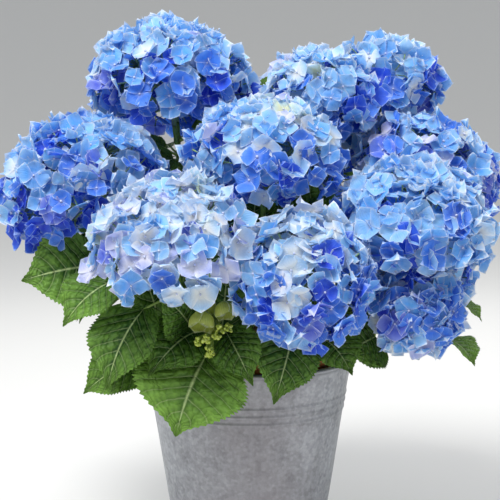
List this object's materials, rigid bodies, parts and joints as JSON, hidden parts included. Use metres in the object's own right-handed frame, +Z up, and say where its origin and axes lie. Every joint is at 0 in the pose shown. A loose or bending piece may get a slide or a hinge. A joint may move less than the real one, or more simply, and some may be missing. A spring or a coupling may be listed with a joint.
{
  "type": "potted hydrangea shrub",
  "caption": "Bushy potted shrub with round blue flower heads above broad pointed leaves, in a tapered zinc bucket with rolled ribs.",
  "frame": {"origin": "centre of the bucket's flat underside", "axes": "+Z up, +X to the picture's right, the front of the shrub faces -Y"},
  "size_m": [0.5642, 0.5061, 0.6121],
  "materials": {
    "zinc": "matt spangled grey",
    "terracotta_plastic": "matt",
    "potting_mix": "rough",
    "cane": "rough",
    "leaf": "satin",
    "blossom": "soft matt",
    "pale_blossom": "soft matt",
    "bud": "soft matt"
  },
  "bodies": {
    "root": {"zinc_bucket": "zinc", "nursery_pot": "terracotta_plastic", "potting_mix": "potting_mix", "cane_front_left": "cane", "cane_front": "cane", "cane_front_right": "cane", "cane_right": "cane", "cane_back_right": "cane", "cane_back": "cane", "cane_back_left": "cane", "cane_left": "cane", "cane_middle": "cane", "leafy_shoot_top_left": "leaf", "leafy_shoot_left": "leaf", "leafy_shoot_centre": "leaf", "leafy_shoot_low_left": "leaf", "leafy_shoot_low_middle": "leaf", "leafy_shoot_top_middle": "leaf", "leafy_shoot_top_right": "leaf", "leafy_shoot_right": "leaf", "leafy_shoot_front_right": "leaf", "leafy_shoot_low_right": "leaf", "leafy_shoot_back_top": "leaf", "leafy_shoot_back_left": "leaf", "leafy_shoot_left_back": "leaf", "leafy_shoot_back_middle": "leaf", "leafy_shoot_back_right": "leaf", "leafy_shoot_right_low": "leaf", "leafy_shoot_back_low": "leaf", "leafy_shoot_young": "leaf", "flower_head_top_left": "blossom", "flower_head_left": "blossom", "flower_head_centre": "blossom", "flower_head_low_left": "pale_blossom", "flower_head_low_middle": "pale_blossom", "flower_head_top_middle": "blossom", "flower_head_top_right": "blossom", "flower_head_right": "blossom", "flower_head_front_right": "blossom", "flower_head_low_right": "blossom", "flower_head_back_top": "blossom", "flower_head_back_left": "blossom", "flower_head_left_back": "blossom", "flower_head_back_middle": "blossom", "flower_head_back_right": "blossom", "flower_head_right_low": "blossom", "flower_head_back_low": "blossom", "flower_head_young": "bud"}
  },
  "joints": []
}
